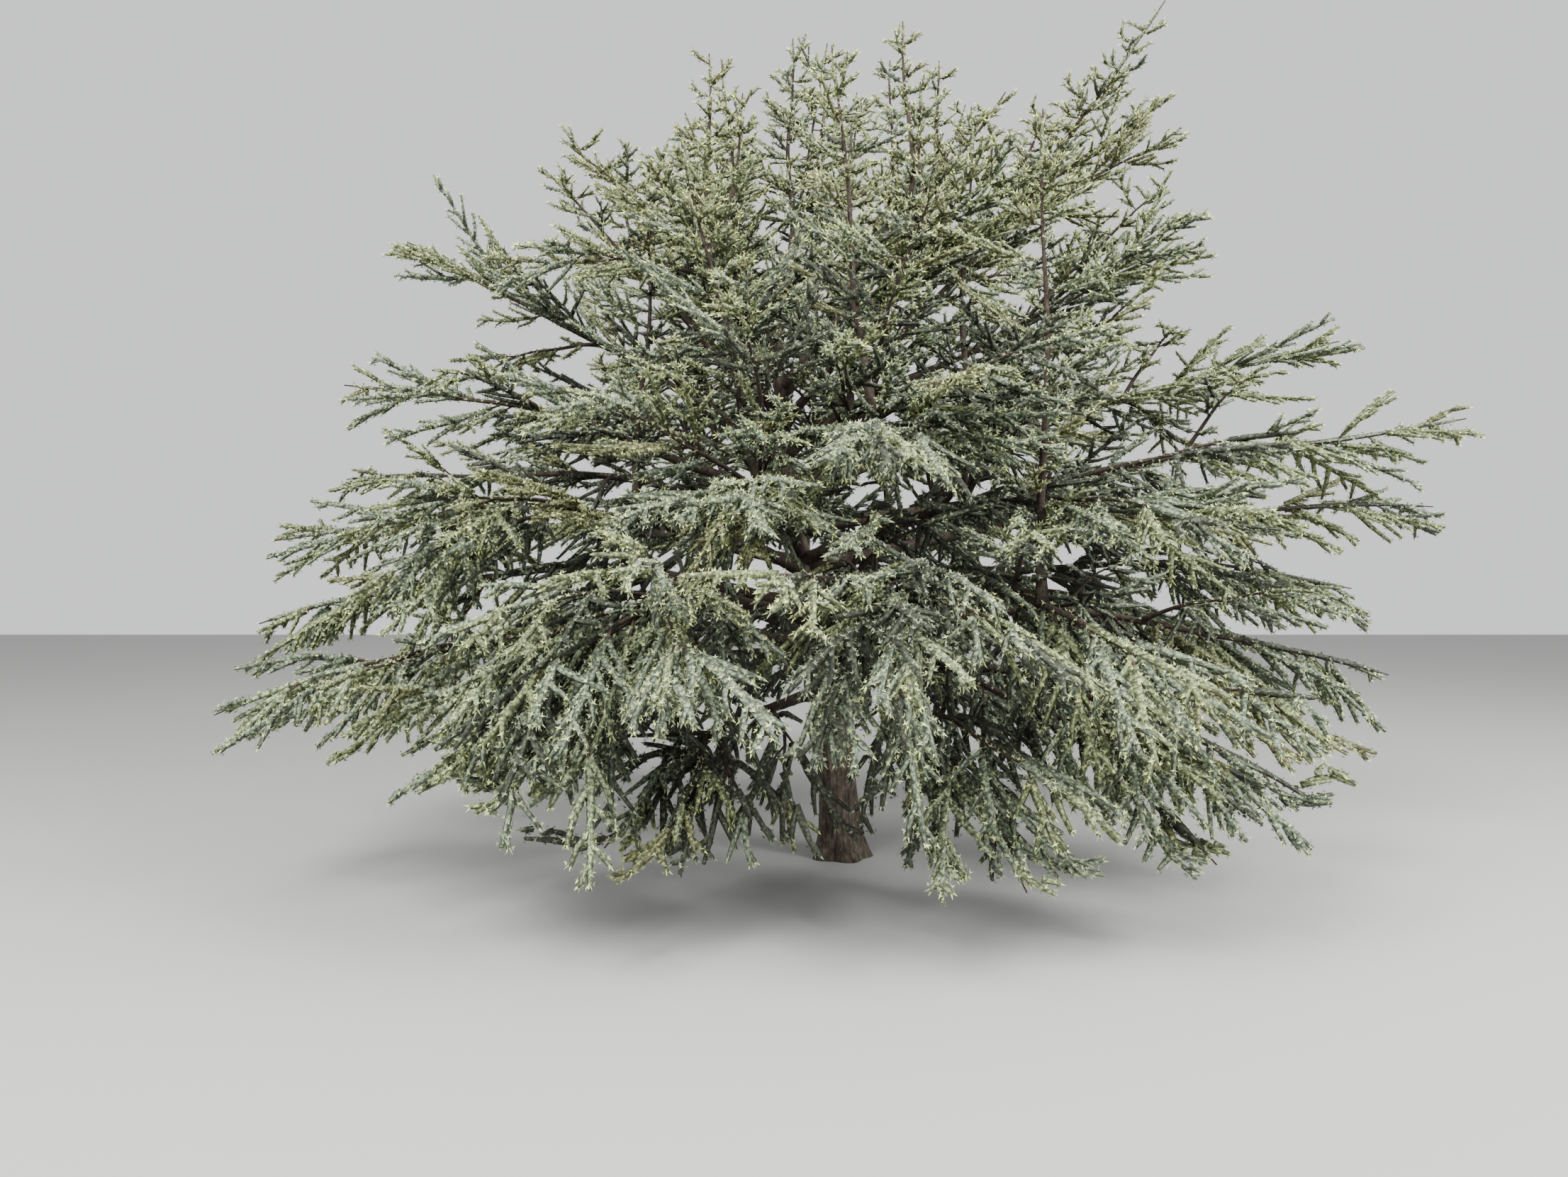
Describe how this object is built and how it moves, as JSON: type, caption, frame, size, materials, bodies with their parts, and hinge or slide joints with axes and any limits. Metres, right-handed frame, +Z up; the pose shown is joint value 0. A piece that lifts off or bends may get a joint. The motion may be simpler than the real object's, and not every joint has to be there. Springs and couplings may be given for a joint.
{
  "type": "atlas cedar tree",
  "caption": "Young blue Atlas cedar: a short leaning trunk with root flare, spreading boughs and broad layered sprays of grey-blue needles down to near the ground.",
  "frame": {"origin": "middle of the flat cut under the trunk, at ground level", "axes": "+Z up, -Y towards the side from which the tree is seen, +X to the right of that view"},
  "size_m": [6.8974, 5.8685, 4.87],
  "materials": {
    "trunk_bark": "rough fissured dark grey-brown bark",
    "bough_bark": "finely scaly purple-brown to grey bark",
    "needles": "waxy grey-blue needles, pale yellow-green at the tips"
  },
  "bodies": {
    "root": {"bough_front_left_skirt": "bough_bark", "bough_front_low": "bough_bark", "bough_front_right_low": "bough_bark", "bough_front_right_skirt": "bough_bark", "bough_front_skirt": "bough_bark", "bough_left_high": "bough_bark", "bough_left_low": "bough_bark", "bough_left_middle": "bough_bark", "bough_left_top": "bough_bark", "bough_left_upper": "bough_bark", "bough_right_high": "bough_bark", "bough_right_leader": "bough_bark", "bough_right_long": "bough_bark", "bough_right_low": "bough_bark", "bough_right_middle": "bough_bark", "bough_right_top": "bough_bark", "bough_right_upper": "bough_bark", "foliage_back_left_high": "needles", "foliage_back_left_low": "needles", "foliage_back_left_middle": "needles", "foliage_back_left_skirt": "needles", "foliage_back_left_upper": "needles", "foliage_back_low": "needles", "foliage_back_middle": "needles", "foliage_back_right_high": "needles", "foliage_back_right_low": "needles", "foliage_back_right_skirt": "needles", "foliage_back_right_upper": "needles", "foliage_crown_tip": "needles", "foliage_front_left_high": "needles", "foliage_front_left_low": "needles", "foliage_front_left_middle": "needles", "foliage_front_left_skirt": "needles", "foliage_front_low": "needles", "foliage_front_right_high": "needles", "foliage_front_right_low": "needles", "foliage_front_right_middle": "needles", "foliage_front_right_skirt": "needles", "foliage_front_skirt": "needles", "foliage_front_upper": "needles", "foliage_left_front_middle": "needles", "foliage_left_high": "needles", "foliage_left_low": "needles", "foliage_left_lower_middle": "needles", "foliage_left_middle": "needles", "foliage_left_skirt": "needles", "foliage_left_top": "needles", "foliage_left_top_inner": "needles", "foliage_left_upper": "needles", "foliage_left_upper_middle": "needles", "foliage_right_back_middle": "needles", "foliage_right_high": "needles", "foliage_right_leader": "needles", "foliage_right_long": "needles", "foliage_right_low": "needles", "foliage_right_middle": "needles", "foliage_right_skirt": "needles", "foliage_right_top": "needles", "foliage_right_upper": "needles", "trunk": "trunk_bark"}
  },
  "joints": []
}
